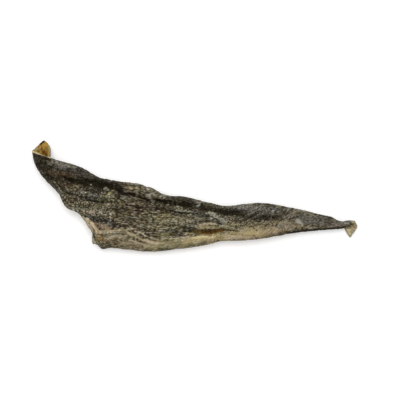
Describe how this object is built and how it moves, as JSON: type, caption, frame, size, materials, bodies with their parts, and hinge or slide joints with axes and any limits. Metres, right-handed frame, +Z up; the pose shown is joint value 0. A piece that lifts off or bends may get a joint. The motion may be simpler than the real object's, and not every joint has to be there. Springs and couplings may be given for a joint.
{
  "type": "freeze-dried haddock fillet",
  "caption": "Thin curled strip of dried fish with its skin on, rolled along both long edges, with an open rolled tip and a narrow tail that spreads into a small fan.",
  "frame": {"origin": "centre of the bounding box in plan, on the surface that the fillet lies on", "axes": "+X along the fillet towards the narrow tail, +Y across it towards the open tip's side, +Z up out of the skin side"},
  "size_m": [0.2277, 0.0774, 0.0142],
  "materials": {
    "dried_fish_skin": "dull, finely scaled dried skin"
  },
  "bodies": {
    "root": {"fillet": "dried_fish_skin"}
  },
  "joints": []
}
